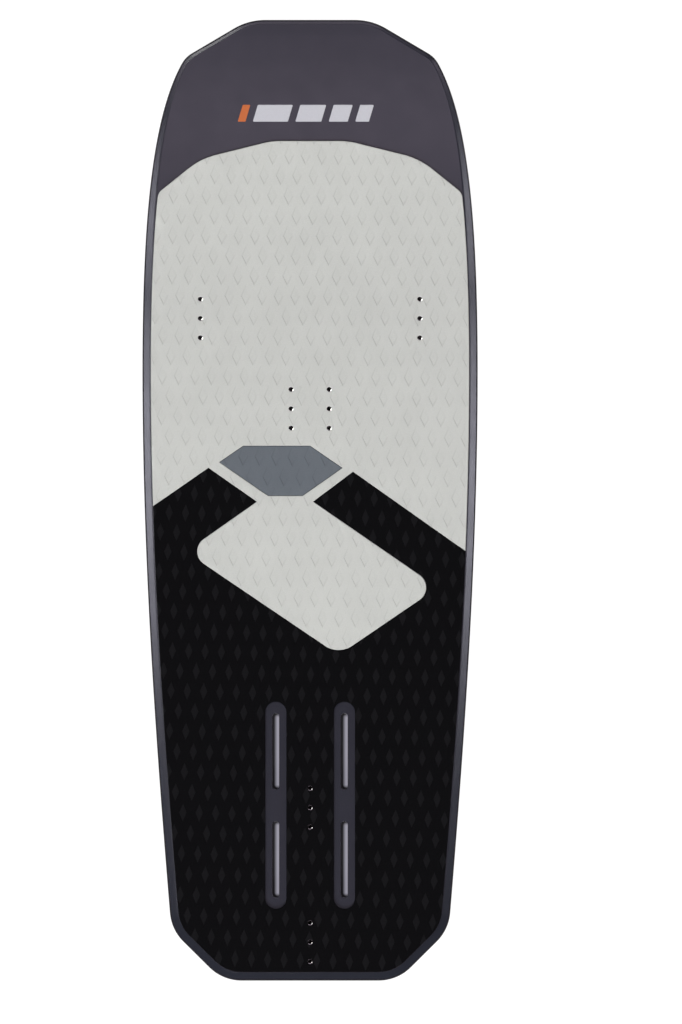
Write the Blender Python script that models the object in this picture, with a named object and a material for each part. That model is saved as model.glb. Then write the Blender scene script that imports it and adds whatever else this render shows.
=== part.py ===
"""Kiteboard for foiling: a sandwich board with a tray hull, a deck skin, a foam core,
a mast block with four through bolt slots, threaded strap inserts and EVA deck pads.

Frame: metres, +Z up out of the deck, +Y to the nose, +X to the rider's right when facing
the nose. The origin is on the flat bottom, under the middle of the outline.
"""

import math

import bmesh
import bpy
from mathutils import Vector

# Board outline
LENGTH = 1.260
WIDTH = 0.440
NOSE_Y = LENGTH / 2
TAIL_Y = -LENGTH / 2
WIDEST_Y = 0.170
NOSE_CORNER = (0.0808, NOSE_Y)
NOSE_CORNER_RADIUS = 0.080
SHOULDER = (0.1628, 0.5818)
SHOULDER_RADIUS = 0.036
SHOULDER_HANDLE = 0.0823
SHOULDER_SLOPE = 0.644
FORWARD_HANDLE = 0.200
AFT_HANDLE = 0.245
TAIL_HANDLE_TIP = (0.2026, -0.318)
TAIL_CORNER = (0.1821, -0.5631)
TAIL_CHAMFER_END = (0.1147, TAIL_Y)
TAIL_CORNER_RADIUS = 0.060
FORWARD_STEPS = 12
AFT_STEPS = 13
ARC_STEP = math.radians(7.5)

# Thickness and rocker
THICKNESS = 0.034
ROCKER_START_Y = 0.060
ROCKER_HEIGHT = 0.062
ROCKER_POWER = 2.2
DECK_RISE_START_Y = 0.275
DECK_NOSE_HEIGHT = 0.080
DECK_RISE_POWER = 1.8

# Rail and laminates
RAIL_LEDGE = 0.0013
HULL_WALL = 0.004
HULL_LAMINATE = 0.0025
DECK_LAMINATE = 0.002
CHAMFER_WIDTH = 0.028
CHAMFER_SHARE = 12 / 34
BEVEL_WIDTH = 0.0088
BEVEL_DROP = 0.005
NOSE_BEVEL_WIDTH = 0.004
NOSE_BEVEL_DROP = 0.0015
BEVEL_FADE_START_Y = 0.300
GAP = 0.0003
CORE_GAP = 0.0007
CORE_TOP_INSET = 0.002

# Mast slots: two rows 90 mm apart, for M8 bolts on a 165 mm long pattern
SLOT_ROW_X = 0.045
SLOT_MIDDLE_Y = -0.400
SLOT_OFFSET_Y = 0.071
SLOT_LENGTH = 0.101
SLOT_WIDTH = 0.010
SLOT_MOUTH_WIDTH = 0.0106
SLOT_MOUTH_DEPTH = 0.0017
SLOT_MOUTH_RUN_OUT = 0.0007
LINER_CLEAR_WIDTH = 0.0088
LINER_WALL = 0.0016
LAND_WIDTH = 0.0274
LAND_LENGTH = 0.2714
LAND_DEPTH = 0.0008
MAST_BLOCK_SIZE = (0.140, 0.270)

# Threaded inserts: rows of three M6 bushes on a 25.4 mm pitch
INSERT_PITCH = 0.0254
INSERT_ROWS = {
    "front_left": (-0.144, 0.239),
    "front_right": (0.144, 0.239),
    "centre_left": (-0.025, 0.1205),
    "centre_right": (0.025, 0.1205),
    "rear": (0.0, -0.403),
    "tail": (0.0, -0.5795),
}
BUSH_RADIUS = 0.0045
BUSH_BORE_RADIUS = 0.00305
BUSH_LENGTH = 0.018
BUSH_FLOOR = 0.002
PAD_HOLE_RADIUS = 0.0032
INSERT_BLOCK_SIZE = (0.030, 0.072, 0.0185)
BLOCK_ROWS = [row for row in INSERT_ROWS if row != "rear"]
ROUND_SIDES = 16

# EVA deck pads
PAD_INSET = 0.011
PAD_THICKNESS = 0.004
PAD_SEAM = 0.0004
PAD_NOSE_CORNERS = [(0.0499, 0.4720, 0.096), (0.1434, 0.4489, 0.096)]
PAD_SIDE_CORNER_Y = 0.4039
PAD_SIDE_CORNER_RADIUS = 0.016
CUTOUT_WIDTH = 0.028
CUTOUT_LENGTH = 0.272
LEFT_EDGE_Y = -0.0076
RIGHT_EDGE_Y = -0.0665
LEFT_PEAK = (-0.1333, 0.0428, 0.0)
LEFT_NOTCH = (-0.0701, -0.0014, 0.0)
WINDOW_LEFT = (-0.1635, -0.0670, 0.020)
WINDOW_BOTTOM = (0.0375, -0.2030, 0.032)
WINDOW_RIGHT = (0.1680, -0.1140, 0.020)
RIGHT_NOTCH = (0.0043, -0.0014, 0.0)
RIGHT_PEAK = (0.0564, 0.0377, 0.0)
ACCENT_CORNERS = [
    (-0.1189, 0.0504, 0.0),
    (-0.0875, 0.0718, 0.0),
    (0.0001, 0.0718, 0.0),
    (0.0423, 0.0428, 0.0),
    (-0.0098, 0.0064, 0.0),
    (-0.0550, 0.0064, 0.0),
]

# Heights of the guides that cut the parts
CUTTER_BASE = -0.010
CUTTER_TOP = 0.120
HULL_CUTTER_TOP = THICKNESS / 2
PAD_BLANK_BASE = THICKNESS - 0.001


# Plan shapes


def bezier(start, start_handle, end_handle, end, steps):
    """Points along a cubic curve, both ends included."""
    points = []
    for step in range(steps + 1):
        t = step / steps
        weights = ((1 - t) ** 3, 3 * (1 - t) ** 2 * t, 3 * (1 - t) * t**2, t**3)
        ends = (start, start_handle, end_handle, end)
        points.append(tuple(sum(w * p[axis] for w, p in zip(weights, ends)) for axis in (0, 1)))
    return points


def corner_arc(before, corner, after, radius):
    """The tangent arc that rounds a corner, as points from one tangent point to the other."""
    here = Vector(corner)
    to_before = (Vector(before) - here).normalized()
    to_after = (Vector(after) - here).normalized()
    half_angle = to_before.angle(to_after) / 2
    tangent = radius / math.tan(half_angle)
    middle = here + (to_before + to_after).normalized() * (radius / math.sin(half_angle))
    first = here + to_before * tangent - middle
    turn = first.angle_signed(here + to_after * tangent - middle)
    steps = max(2, math.ceil(abs(turn) / ARC_STEP))
    points = []
    for step in range(steps + 1):
        angle = -turn * step / steps
        cos, sin = math.cos(angle), math.sin(angle)
        points.append((middle.x + first.x * cos - first.y * sin, middle.y + first.x * sin + first.y * cos))
    return points


def rounded_loop(corners):
    """A closed outline from (x, y, radius) corners; a radius of 0 keeps the corner sharp."""
    points = []
    for index, (x, y, radius) in enumerate(corners):
        if radius > 0:
            before = corners[index - 1][:2]
            after = corners[(index + 1) % len(corners)][:2]
            points += corner_arc(before, (x, y), after, radius)
        else:
            points.append((x, y))
    return points


def inset_loop(points, distances):
    """A clockwise outline moved inwards by one distance for each point."""
    moved = []
    for index, point in enumerate(points):
        here = Vector(point)
        incoming = (here - Vector(points[index - 1])).normalized()
        outgoing = (Vector(points[(index + 1) % len(points)]) - here).normalized()
        normal_in = Vector((incoming.y, -incoming.x))
        normal_out = Vector((outgoing.y, -outgoing.x))
        shift = (normal_in + normal_out) * (distances[index] / (1 + normal_in.dot(normal_out)))
        moved.append((here.x + shift.x, here.y + shift.y))
    return moved


def right_side():
    """The right half of the board outline, from the nose to the tail."""
    widest = (WIDTH / 2, WIDEST_Y)
    slope = Vector((SHOULDER_SLOPE, -1)).normalized() * SHOULDER_HANDLE
    handle = (SHOULDER[0] + slope.x, SHOULDER[1] + slope.y)
    forward = bezier(SHOULDER, handle, (widest[0], WIDEST_Y + FORWARD_HANDLE), widest, FORWARD_STEPS)
    aft = bezier(widest, (widest[0], WIDEST_Y - AFT_HANDLE), TAIL_HANDLE_TIP, TAIL_CORNER, AFT_STEPS)
    corners = [(0, NOSE_Y, 0), (*NOSE_CORNER, NOSE_CORNER_RADIUS), (*SHOULDER, SHOULDER_RADIUS)]
    corners += [(x, y, 0) for x, y in forward[1:] + aft[1:-1]]
    corners += [(*TAIL_CORNER, TAIL_CORNER_RADIUS), (*TAIL_CHAMFER_END, TAIL_CORNER_RADIUS)]
    corners += [(0, TAIL_Y, 0)]
    return [point for point in rounded_loop(corners) if point[0] > 0]


def mirrored(right_half):
    """A closed clockwise outline from its right half, nose first."""
    return right_half + [(-x, y) for x, y in reversed(right_half)]


OUTLINE = mirrored(right_side())


# Heights along the board


def bottom_height(y):
    rise = max(0, y - ROCKER_START_Y) / (NOSE_Y - ROCKER_START_Y)
    return ROCKER_HEIGHT * rise**ROCKER_POWER


def deck_height(y):
    rise = max(0, y - DECK_RISE_START_Y) / (NOSE_Y - DECK_RISE_START_Y)
    return THICKNESS + (DECK_NOSE_HEIGHT - THICKNESS) * rise**DECK_RISE_POWER


def chamfer_height(y):
    return CHAMFER_SHARE * (deck_height(y) - bottom_height(y))


def towards_nose(y, at_middle, at_nose):
    """A size that changes smoothly from its value amidships to its value at the nose."""
    t = min(1, max(0, (y - BEVEL_FADE_START_Y) / (NOSE_Y - BEVEL_FADE_START_Y)))
    return at_middle + (at_nose - at_middle) * t * t * (3 - 2 * t)


def bevel_width(y):
    return towards_nose(y, BEVEL_WIDTH, NOSE_BEVEL_WIDTH)


def edge_height(y):
    """The deck skin's outer top edge, level with the rim of the hull."""
    return deck_height(y) - towards_nose(y, BEVEL_DROP, NOSE_BEVEL_DROP)


def skin_underside(y, inset):
    """The underside of the deck skin at a distance in from the outline."""
    outer = RAIL_LEDGE + GAP
    share = min(1, (inset - outer) / bevel_width(y))
    return edge_height(y) + (deck_height(y) - edge_height(y)) * share - DECK_LAMINATE


def hull_inside(y, inset):
    """The inner face of the hull's bottom at a distance in from the outline."""
    slope = chamfer_height(y) / CHAMFER_WIDTH
    laminate = HULL_LAMINATE * math.sqrt(1 + slope * slope)
    chamfer = chamfer_height(y) - slope * inset + laminate
    return bottom_height(y) + max(HULL_LAMINATE, chamfer)


# Mesh building


def material(name, colour, roughness, metallic=0.0):
    made = bpy.data.materials.new(name)
    made.use_nodes = True
    shader = made.node_tree.nodes["Principled BSDF"]
    shader.inputs["Base Color"].default_value = (*colour, 1)
    shader.inputs["Roughness"].default_value = roughness
    shader.inputs["Metallic"].default_value = metallic
    made.diffuse_color = (*colour, 1)
    return made


def add_object(name, mesh, finish=None):
    made = bpy.data.objects.new(name, mesh)
    bpy.context.scene.collection.objects.link(made)
    if finish:
        mesh.materials.append(finish)
    return made


def close_mesh(name, vertices, faces):
    """A mesh with its faces turned outwards."""
    mesh = bpy.data.meshes.new(name)
    mesh.from_pydata(vertices, [], faces)
    work = bmesh.new()
    work.from_mesh(mesh)
    bmesh.ops.recalc_face_normals(work, faces=work.faces)
    work.to_mesh(mesh)
    work.free()
    return mesh


def ring(inset, height):
    """The outline moved in by inset(y), with each point at height(y)."""
    distances = [inset(y) if callable(inset) else inset for _, y in OUTLINE]
    return [(x, y, height(y)) for x, y in inset_loop(OUTLINE, distances)]


def loft(name, rings):
    """A closed body through the rings, with its two end caps laid as rungs across the board."""
    count = len(OUTLINE)
    half = count // 2
    vertices = [point for one in rings for point in one]
    faces = []
    for level in range(len(rings) - 1):
        low = level * count
        for index in range(count):
            after = (index + 1) % count
            faces.append((low + index, low + after, low + count + after, low + count + index))
    for low in (0, (len(rings) - 1) * count):
        for index in range(half - 1):
            opposite = count - 1 - index
            faces.append((low + index, low + index + 1, low + opposite - 1, low + opposite))
    return close_mesh(name, vertices, faces)


def prism_parts(outline, low, high, vertices, faces, top_outline=None):
    """Adds an upright prism, or a flared one when its top has an outline of its own."""
    base = len(vertices)
    count = len(outline)
    vertices += [(x, y, low) for x, y in outline]
    vertices += [(x, y, high) for x, y in top_outline or outline]
    faces.append(tuple(range(base, base + count)))
    faces.append(tuple(range(base + count, base + 2 * count)))
    for index in range(count):
        after = (index + 1) % count
        faces.append((base + index, base + after, base + count + after, base + count + index))


def prisms(name, outlines, low, high):
    """One mesh of separate upright prisms."""
    vertices, faces = [], []
    for outline in outlines:
        prism_parts(outline, low, high, vertices, faces)
    return close_mesh(name, vertices, faces)


def tube_mesh(name, outer, inner, low, high):
    """An upright tube between two outlines that have the same number of points."""
    levels = [(outer, low), (outer, high), (inner, high), (inner, low)]
    count = len(outer)
    vertices = [(x, y, z) for outline, z in levels for x, y in outline]
    faces = []
    for level in range(4):
        here, there = level * count, (level + 1) % 4 * count
        for index in range(count):
            after = (index + 1) % count
            faces.append((here + index, here + after, there + after, there + index))
    return close_mesh(name, vertices, faces)


def cup_mesh(name, outer, bore, low, floor, high):
    """An upright cup: a blind bore in a solid with the same number of sides."""
    levels = [(outer, low), (outer, high), (bore, high), (bore, floor)]
    count = len(outer)
    vertices = [(x, y, z) for outline, z in levels for x, y in outline]
    faces = [tuple(range(count)), tuple(range(3 * count, 4 * count))]
    for level in range(3):
        here, there = level * count, (level + 1) * count
        for index in range(count):
            after = (index + 1) % count
            faces.append((here + index, here + after, there + after, there + index))
    return close_mesh(name, vertices, faces)


def circle(x, y, radius):
    angles = [math.tau * (step + 0.5) / ROUND_SIDES for step in range(ROUND_SIDES)]
    return [(x + radius * math.sin(angle), y + radius * math.cos(angle)) for angle in angles]


def stadium(x, y, width, length):
    """A round-ended slot along Y."""
    radius = width / 2
    straight = length / 2 - radius
    steps = ROUND_SIDES // 2
    angles = [math.pi * step / steps for step in range(steps + 1)]
    top = [(x - radius * math.cos(a), y + straight + radius * math.sin(a)) for a in angles]
    bottom = [(x + radius * math.cos(a), y - straight - radius * math.sin(a)) for a in angles]
    return top + bottom


def slot_outline(x, y, width):
    """A mast slot at any width, its end arcs keeping their centres."""
    return stadium(x, y, width, SLOT_LENGTH - SLOT_WIDTH + width)


def rectangle(x, y, width, length):
    left, right = x - width / 2, x + width / 2
    bottom, top = y - length / 2, y + length / 2
    return [(left, top), (right, top), (right, bottom), (left, bottom)]


def cutter(name, mesh):
    """A guide for a Boolean, left out of the model."""
    made = add_object(name, mesh)
    made.hide_render = True
    made.display_type = "WIRE"
    return made


def apply_boolean(target, tool, operation="DIFFERENCE"):
    modifier = target.modifiers.new(tool.name, "BOOLEAN")
    modifier.operation = operation
    modifier.solver = "EXACT"
    modifier.object = tool


# Places that repeat


def slot_centres():
    return [
        (side * SLOT_ROW_X, SLOT_MIDDLE_Y + end * SLOT_OFFSET_Y, f"{row}_{place}")
        for side, row in ((-1, "left"), (1, "right"))
        for end, place in ((1, "front"), (-1, "rear"))
    ]


def row_holes(row):
    """The three hole centres of one insert row, from the nose end."""
    x, y = INSERT_ROWS[row]
    return [(x, y + step * INSERT_PITCH) for step in (1, 0, -1)]


def all_holes():
    return [hole for row in INSERT_ROWS for hole in row_holes(row)]


def bush_pocket_cutter(row):
    """The three blind holes that hold one row of bushes."""
    pockets = [circle(x, y, BUSH_RADIUS + GAP) for x, y in row_holes(row)]
    floor = THICKNESS - BUSH_LENGTH - GAP
    return cutter(f"bush_pockets_{row}", prisms(f"bush_pockets_{row}", pockets, floor, CUTTER_TOP))


# Structure


def make_hull_shell(finish):
    """The laminate tray: flat bottom, chamfers, rail walls and the rebate for the deck skin."""
    rings = [
        ring(CHAMFER_WIDTH, lambda y: hull_inside(y, CHAMFER_WIDTH)),
        ring(HULL_WALL, lambda y: hull_inside(y, HULL_WALL)),
        ring(HULL_WALL, lambda y: edge_height(y) - DECK_LAMINATE - GAP),
        ring(RAIL_LEDGE, lambda y: edge_height(y) - DECK_LAMINATE - GAP),
        ring(RAIL_LEDGE, edge_height),
        ring(0, edge_height),
        ring(0, lambda y: bottom_height(y) + chamfer_height(y)),
        ring(CHAMFER_WIDTH, bottom_height),
    ]
    hull = add_object("hull_shell", loft("hull_shell", rings), finish)
    width = LINER_CLEAR_WIDTH + 2 * LINER_WALL + 2 * GAP
    slots = [slot_outline(x, y, width) for x, y, _ in slot_centres()]
    apply_boolean(hull, cutter("hull_slot_cutter", prisms("hull_slots", slots, CUTTER_BASE, HULL_CUTTER_TOP)))


def make_deck_skin(finish):
    """The painted top laminate with its bevelled rail, washer lands, slots and insert holes."""
    outer = RAIL_LEDGE + GAP
    rings = [
        ring(lambda y: outer + bevel_width(y), deck_height),
        ring(outer, edge_height),
        ring(outer, lambda y: edge_height(y) - DECK_LAMINATE),
        ring(lambda y: outer + bevel_width(y), lambda y: deck_height(y) - DECK_LAMINATE),
    ]
    deck = add_object("deck_skin", loft("deck_skin", rings), finish)
    lands = [stadium(side * SLOT_ROW_X, SLOT_MIDDLE_Y, LAND_WIDTH, LAND_LENGTH) for side in (-1, 1)]
    land_floor = THICKNESS - LAND_DEPTH
    apply_boolean(deck, cutter("land_cutter", prisms("lands", lands, land_floor, CUTTER_TOP)))
    mouth_floor = land_floor - SLOT_MOUTH_DEPTH
    mouth_top = land_floor + SLOT_MOUTH_RUN_OUT
    vertices, faces = [], []
    for x, y, _ in slot_centres():
        narrow = slot_outline(x, y, LINER_CLEAR_WIDTH)
        mouth = slot_outline(x, y, SLOT_MOUTH_WIDTH)
        prism_parts(narrow, mouth_floor, mouth_top, vertices, faces, mouth)
    slots = close_mesh("deck_slots", vertices, faces)
    apply_boolean(deck, cutter("deck_slot_cutter", slots))
    holes = [circle(x, y, BUSH_RADIUS + GAP) for x, y in all_holes()]
    apply_boolean(deck, cutter("deck_hole_cutter", prisms("deck_holes", holes, CUTTER_BASE, CUTTER_TOP)))


def make_slot_liners(finish):
    """Four tubes of slot section that carry the mast bolts through the board."""
    outer_width = LINER_CLEAR_WIDTH + 2 * LINER_WALL
    top = THICKNESS - DECK_LAMINATE - GAP
    for x, y, place in slot_centres():
        name = f"slot_liner_{place}"
        outer = slot_outline(x, y, outer_width)
        inner = slot_outline(x, y, LINER_CLEAR_WIDTH)
        add_object(name, tube_mesh(name, outer, inner, GAP, top), finish)


def make_mast_block(finish):
    """The high-density block round the slots, which also holds the rear row of bushes."""
    floor = HULL_LAMINATE + CORE_GAP
    top = THICKNESS - DECK_LAMINATE - CORE_GAP
    outline = rectangle(0, SLOT_MIDDLE_Y, *MAST_BLOCK_SIZE)
    block = add_object("mast_block", prisms("mast_block", [outline], floor, top), finish)
    width = LINER_CLEAR_WIDTH + 2 * LINER_WALL + 2 * GAP
    slots = [slot_outline(x, y, width) for x, y, _ in slot_centres()]
    apply_boolean(block, cutter("block_slot_cutter", prisms("block_slots", slots, CUTTER_BASE, CUTTER_TOP)))
    apply_boolean(block, bush_pocket_cutter("rear"))


def make_insert_blocks(finish):
    """High-density blocks let into the foam core, one for each remaining row of bushes."""
    width, length, depth = INSERT_BLOCK_SIZE
    top = THICKNESS - DECK_LAMINATE - CORE_GAP
    for row in BLOCK_ROWS:
        name = f"insert_block_{row}"
        outline = rectangle(*INSERT_ROWS[row], width, length)
        block = add_object(name, prisms(name, [outline], top - depth, top), finish)
        apply_boolean(block, bush_pocket_cutter(row))


def make_foam_core(finish):
    """The shaped foam that fills the tray, with pockets for the hard blocks."""
    inset = HULL_WALL + CORE_GAP
    rings = [
        ring(lambda y: CORE_TOP_INSET + bevel_width(y), lambda y: deck_height(y) - DECK_LAMINATE - CORE_GAP),
        ring(inset, lambda y: skin_underside(y, inset) - CORE_GAP),
        ring(inset, lambda y: hull_inside(y, inset) + CORE_GAP),
        ring(CHAMFER_WIDTH, lambda y: hull_inside(y, CHAMFER_WIDTH) + CORE_GAP),
    ]
    core = add_object("foam_core", loft("foam_core", rings), finish)
    clear = 2 * CORE_GAP
    width, length, depth = INSERT_BLOCK_SIZE
    pockets = [rectangle(*INSERT_ROWS[row], width + clear, length + clear) for row in BLOCK_ROWS]
    floor = THICKNESS - DECK_LAMINATE - depth - 2 * CORE_GAP
    apply_boolean(core, cutter("block_pocket_cutter", prisms("block_pockets", pockets, floor, CUTTER_TOP)))
    block = rectangle(0, SLOT_MIDDLE_Y, MAST_BLOCK_SIZE[0] + clear, MAST_BLOCK_SIZE[1] + clear)
    apply_boolean(core, cutter("mast_pocket_cutter", prisms("mast_pocket", [block], CUTTER_BASE, CUTTER_TOP)))


def make_bushes(finish):
    """Eighteen blind threaded bushes, their mouths level with the deck."""
    for row in INSERT_ROWS:
        for number, (x, y) in enumerate(row_holes(row), start=1):
            name = f"bush_{row}_{number}"
            top = THICKNESS
            outer = circle(x, y, BUSH_RADIUS)
            bore = circle(x, y, BUSH_BORE_RADIUS)
            mesh = cup_mesh(name, outer, bore, top - BUSH_LENGTH, top - BUSH_LENGTH + BUSH_FLOOR, top)
            add_object(name, mesh, finish).data.shade_smooth()


# Deck pads


def pad_side(high_y, low_y):
    """The pad's right edge between two places along the board, ends included."""
    half = len(OUTLINE) // 2
    edge = inset_loop(OUTLINE, [PAD_INSET] * len(OUTLINE))[:half]
    points = []
    for (x1, y1), (x2, y2) in zip(edge, edge[1:]):
        for cut in (high_y, low_y):
            if y2 < cut <= y1:
                share = (cut - y1) / (y2 - y1)
                points.append((x1 + (x2 - x1) * share, cut))
        if low_y < y2 < high_y:
            points.append((x2, y2))
    return points


def as_corners(points):
    return [(x, y, 0.0) for x, y in points]


def graphic_line():
    """The seam between the light pad and the black pad, from the left rail to the right rail."""
    window = [WINDOW_LEFT, WINDOW_BOTTOM, WINDOW_RIGHT]
    return [LEFT_PEAK, LEFT_NOTCH, *window, RIGHT_NOTCH, RIGHT_PEAK]


def front_pad_outline():
    right = as_corners(pad_side(PAD_SIDE_CORNER_Y, RIGHT_EDGE_Y))
    left = as_corners(pad_side(PAD_SIDE_CORNER_Y, LEFT_EDGE_Y))
    side_corner = [(right[0][0], right[0][1], PAD_SIDE_CORNER_RADIUS)]
    nose = PAD_NOSE_CORNERS + side_corner
    nose_left = [(-x, y, radius) for x, y, radius in reversed(nose)]
    left_up = [(-x, y, radius) for x, y, radius in reversed(left[1:])]
    seam = list(reversed(graphic_line()))
    return rounded_loop(nose + right[1:] + seam + left_up + nose_left)


def rear_pad_outline():
    right = as_corners(pad_side(RIGHT_EDGE_Y, TAIL_Y))
    left = [(-x, y, radius) for x, y, radius in reversed(as_corners(pad_side(LEFT_EDGE_Y, TAIL_Y)))]
    return rounded_loop(right + left + graphic_line())


def pad_layer_guide():
    """A slab over the whole deck at the height of the pads, which gives each pad its two faces."""
    inset = PAD_INSET - GAP
    rings = [
        ring(inset, lambda y: deck_height(y) + GAP + PAD_THICKNESS),
        ring(inset, lambda y: deck_height(y) + GAP),
    ]
    return cutter("pad_layer_guide", loft("pad_layer_guide", rings))


def make_pad(name, outline, layer, finish, cutters=()):
    """One EVA pad: its own outline, taken out of the layer that follows the deck."""
    half_seam = [PAD_SEAM / 2] * len(outline)
    shape = prisms(name, [inset_loop(outline, half_seam)], PAD_BLANK_BASE, CUTTER_TOP)
    pad = add_object(name, shape, finish)
    apply_boolean(pad, layer, "INTERSECT")
    for tool in cutters:
        apply_boolean(pad, tool)
    return pad


def make_pads(light, accent, black):
    layer = pad_layer_guide()
    holes = [circle(x, y, PAD_HOLE_RADIUS) for x, y in all_holes()]
    hole_cutter = cutter("pad_hole_cutter", prisms("pad_holes", holes, CUTTER_BASE, CUTTER_TOP))
    recess = inset_loop(rounded_loop(ACCENT_CORNERS), [-PAD_SEAM / 2] * len(ACCENT_CORNERS))
    accent_cutter = cutter("accent_cutter", prisms("accent_recess", [recess], CUTTER_BASE, CUTTER_TOP))
    cutouts = [stadium(side * SLOT_ROW_X, SLOT_MIDDLE_Y, CUTOUT_WIDTH, CUTOUT_LENGTH) for side in (-1, 1)]
    cutout_cutter = cutter("cutout_cutter", prisms("cutouts", cutouts, CUTTER_BASE, CUTTER_TOP))
    make_pad("deck_pad_front", front_pad_outline(), layer, light, (hole_cutter, accent_cutter))
    make_pad("deck_pad_accent", rounded_loop(ACCENT_CORNERS), layer, accent)
    make_pad("deck_pad_rear", rear_pad_outline(), layer, black, (hole_cutter, cutout_cutter))


def main():
    for old in list(bpy.data.objects):
        bpy.data.objects.remove(old)
    dark_laminate = material("dark_laminate", (0.012, 0.012, 0.014), 0.35)
    deck_paint = material("deck_paint", (0.066, 0.060, 0.081), 0.42)
    core_foam = material("core_foam", (0.78, 0.74, 0.62), 0.9)
    dense_foam = material("dense_foam", (0.32, 0.36, 0.30), 0.8)
    liner_plastic = material("liner_plastic", (0.55, 0.54, 0.58), 0.4)
    bush_metal = material("bush_metal", (0.72, 0.70, 0.66), 0.28, 1.0)
    light_foam = material("light_eva", (0.57, 0.58, 0.55), 0.85)
    accent_foam = material("accent_eva", (0.141, 0.159, 0.178), 0.85)
    black_foam = material("black_eva", (0.008, 0.008, 0.009), 0.85)
    make_hull_shell(dark_laminate)
    make_deck_skin(deck_paint)
    make_slot_liners(liner_plastic)
    make_mast_block(dense_foam)
    make_insert_blocks(dense_foam)
    make_foam_core(core_foam)
    make_bushes(bush_metal)
    make_pads(light_foam, accent_foam, black_foam)


main()
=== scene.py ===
"""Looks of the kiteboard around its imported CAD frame.

The hull, the deck skin, the three EVA pads, the slot liners and the threaded bushes are rebuilt
as fine meshes on the same lines as the CAD parts. The sealed cores keep their CAD solids.
Frame: metres, +Z up out of the deck, +Y to the nose.
"""

import math

import bmesh
import bpy
import numpy as np
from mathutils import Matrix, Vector
from mathutils.geometry import delaunay_2d_cdt


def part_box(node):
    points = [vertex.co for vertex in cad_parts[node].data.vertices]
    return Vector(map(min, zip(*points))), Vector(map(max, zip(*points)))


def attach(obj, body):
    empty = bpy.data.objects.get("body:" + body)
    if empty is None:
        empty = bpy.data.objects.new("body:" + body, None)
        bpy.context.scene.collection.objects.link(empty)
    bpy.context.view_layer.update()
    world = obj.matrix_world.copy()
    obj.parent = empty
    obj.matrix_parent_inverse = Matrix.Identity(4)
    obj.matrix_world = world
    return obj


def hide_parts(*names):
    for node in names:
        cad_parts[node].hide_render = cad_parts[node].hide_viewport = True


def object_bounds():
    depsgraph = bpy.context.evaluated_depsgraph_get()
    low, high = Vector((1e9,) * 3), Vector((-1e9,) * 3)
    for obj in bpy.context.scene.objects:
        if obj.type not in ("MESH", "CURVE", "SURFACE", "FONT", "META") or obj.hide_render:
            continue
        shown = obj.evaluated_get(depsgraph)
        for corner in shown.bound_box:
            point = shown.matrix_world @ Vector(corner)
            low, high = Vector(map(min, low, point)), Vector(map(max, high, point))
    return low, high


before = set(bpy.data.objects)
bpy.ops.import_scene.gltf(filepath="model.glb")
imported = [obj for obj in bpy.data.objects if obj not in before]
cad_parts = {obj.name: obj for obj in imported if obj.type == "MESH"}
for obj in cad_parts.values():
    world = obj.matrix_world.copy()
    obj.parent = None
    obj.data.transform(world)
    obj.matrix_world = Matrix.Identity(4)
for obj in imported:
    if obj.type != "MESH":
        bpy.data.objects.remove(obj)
CAD_BOX = [list(corner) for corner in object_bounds()]
MM = 0.001

# Board outline, as the CAD draws it
NOSE_Y = CAD_BOX[1][1]
TAIL_Y = CAD_BOX[0][1]
HALF_WIDTH = CAD_BOX[1][0]
WIDEST_Y = 0.170
NOSE_CORNER = (0.0808, NOSE_Y)
NOSE_CORNER_RADIUS = 0.080
SHOULDER = (0.1628, 0.5818)
SHOULDER_RADIUS = 0.036
SHOULDER_HANDLE = 0.0823
SHOULDER_SLOPE = 0.644
FORWARD_HANDLE = 0.200
AFT_HANDLE = 0.245
TAIL_HANDLE_TIP = (0.2026, -0.318)
TAIL_CORNER = (0.1821, -0.5631)
TAIL_CHAMFER_END = (0.1147, TAIL_Y)
TAIL_CORNER_RADIUS = 0.060
FORWARD_STEPS = 44
AFT_STEPS = 60
ARC_STEP = math.radians(3)

# Thickness and rocker
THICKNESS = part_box("bush_rear_1")[1].z
ROCKER_START_Y = 0.060
ROCKER_HEIGHT = 0.062
ROCKER_POWER = 2.2
DECK_RISE_START_Y = 0.275
DECK_NOSE_HEIGHT = 0.080
DECK_RISE_POWER = 1.8

# Rail and laminates
RAIL_LEDGE = 1.3 * MM
HULL_WALL = 4 * MM
HULL_LAMINATE = 2.5 * MM
DECK_LAMINATE = 2 * MM
CHAMFER_WIDTH = 28 * MM
CHAMFER_SHARE = 12 / 34
BEVEL_WIDTH = 8.8 * MM
BEVEL_DROP = 5 * MM
NOSE_BEVEL_WIDTH = 4 * MM
NOSE_BEVEL_DROP = 1.5 * MM
BEVEL_FADE_START_Y = 0.300
GAP = 0.3 * MM

# Rounding that the CAD leaves out
RIM_ROUND = 0.45 * MM
DECK_ROUND = 5 * MM
RAIL_ROUND = 5 * MM
BOTTOM_ROUND = 20 * MM
FLAT_MARGIN = 6 * MM
FILLET_STEPS = 5
FILLET_LEAD = 0.2 * MM
SMOOTH_ANGLE = math.radians(28)

# Mast slots
SLOT_NAMES = ["left_front", "left_rear", "right_front", "right_rear"]
SLOT_CLEAR_WIDTH = 8.8 * MM
SLOT_MOUTH_WIDTH = 10.6 * MM
SLOT_MOUTH_DEPTH = 1.7 * MM
SLOT_MOUTH_RUN_OUT = 0.7 * MM
LINER_WALL = 1.6 * MM
LINER_LIP = 0.5 * MM
LAND_WIDTH = 27.4 * MM
LAND_LENGTH = 271.4 * MM
LAND_DEPTH = 0.8 * MM
LAND_FLARE = 0.3 * MM
CUTTER_BASE = -0.010
CUTTER_TOP = 0.120

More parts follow.
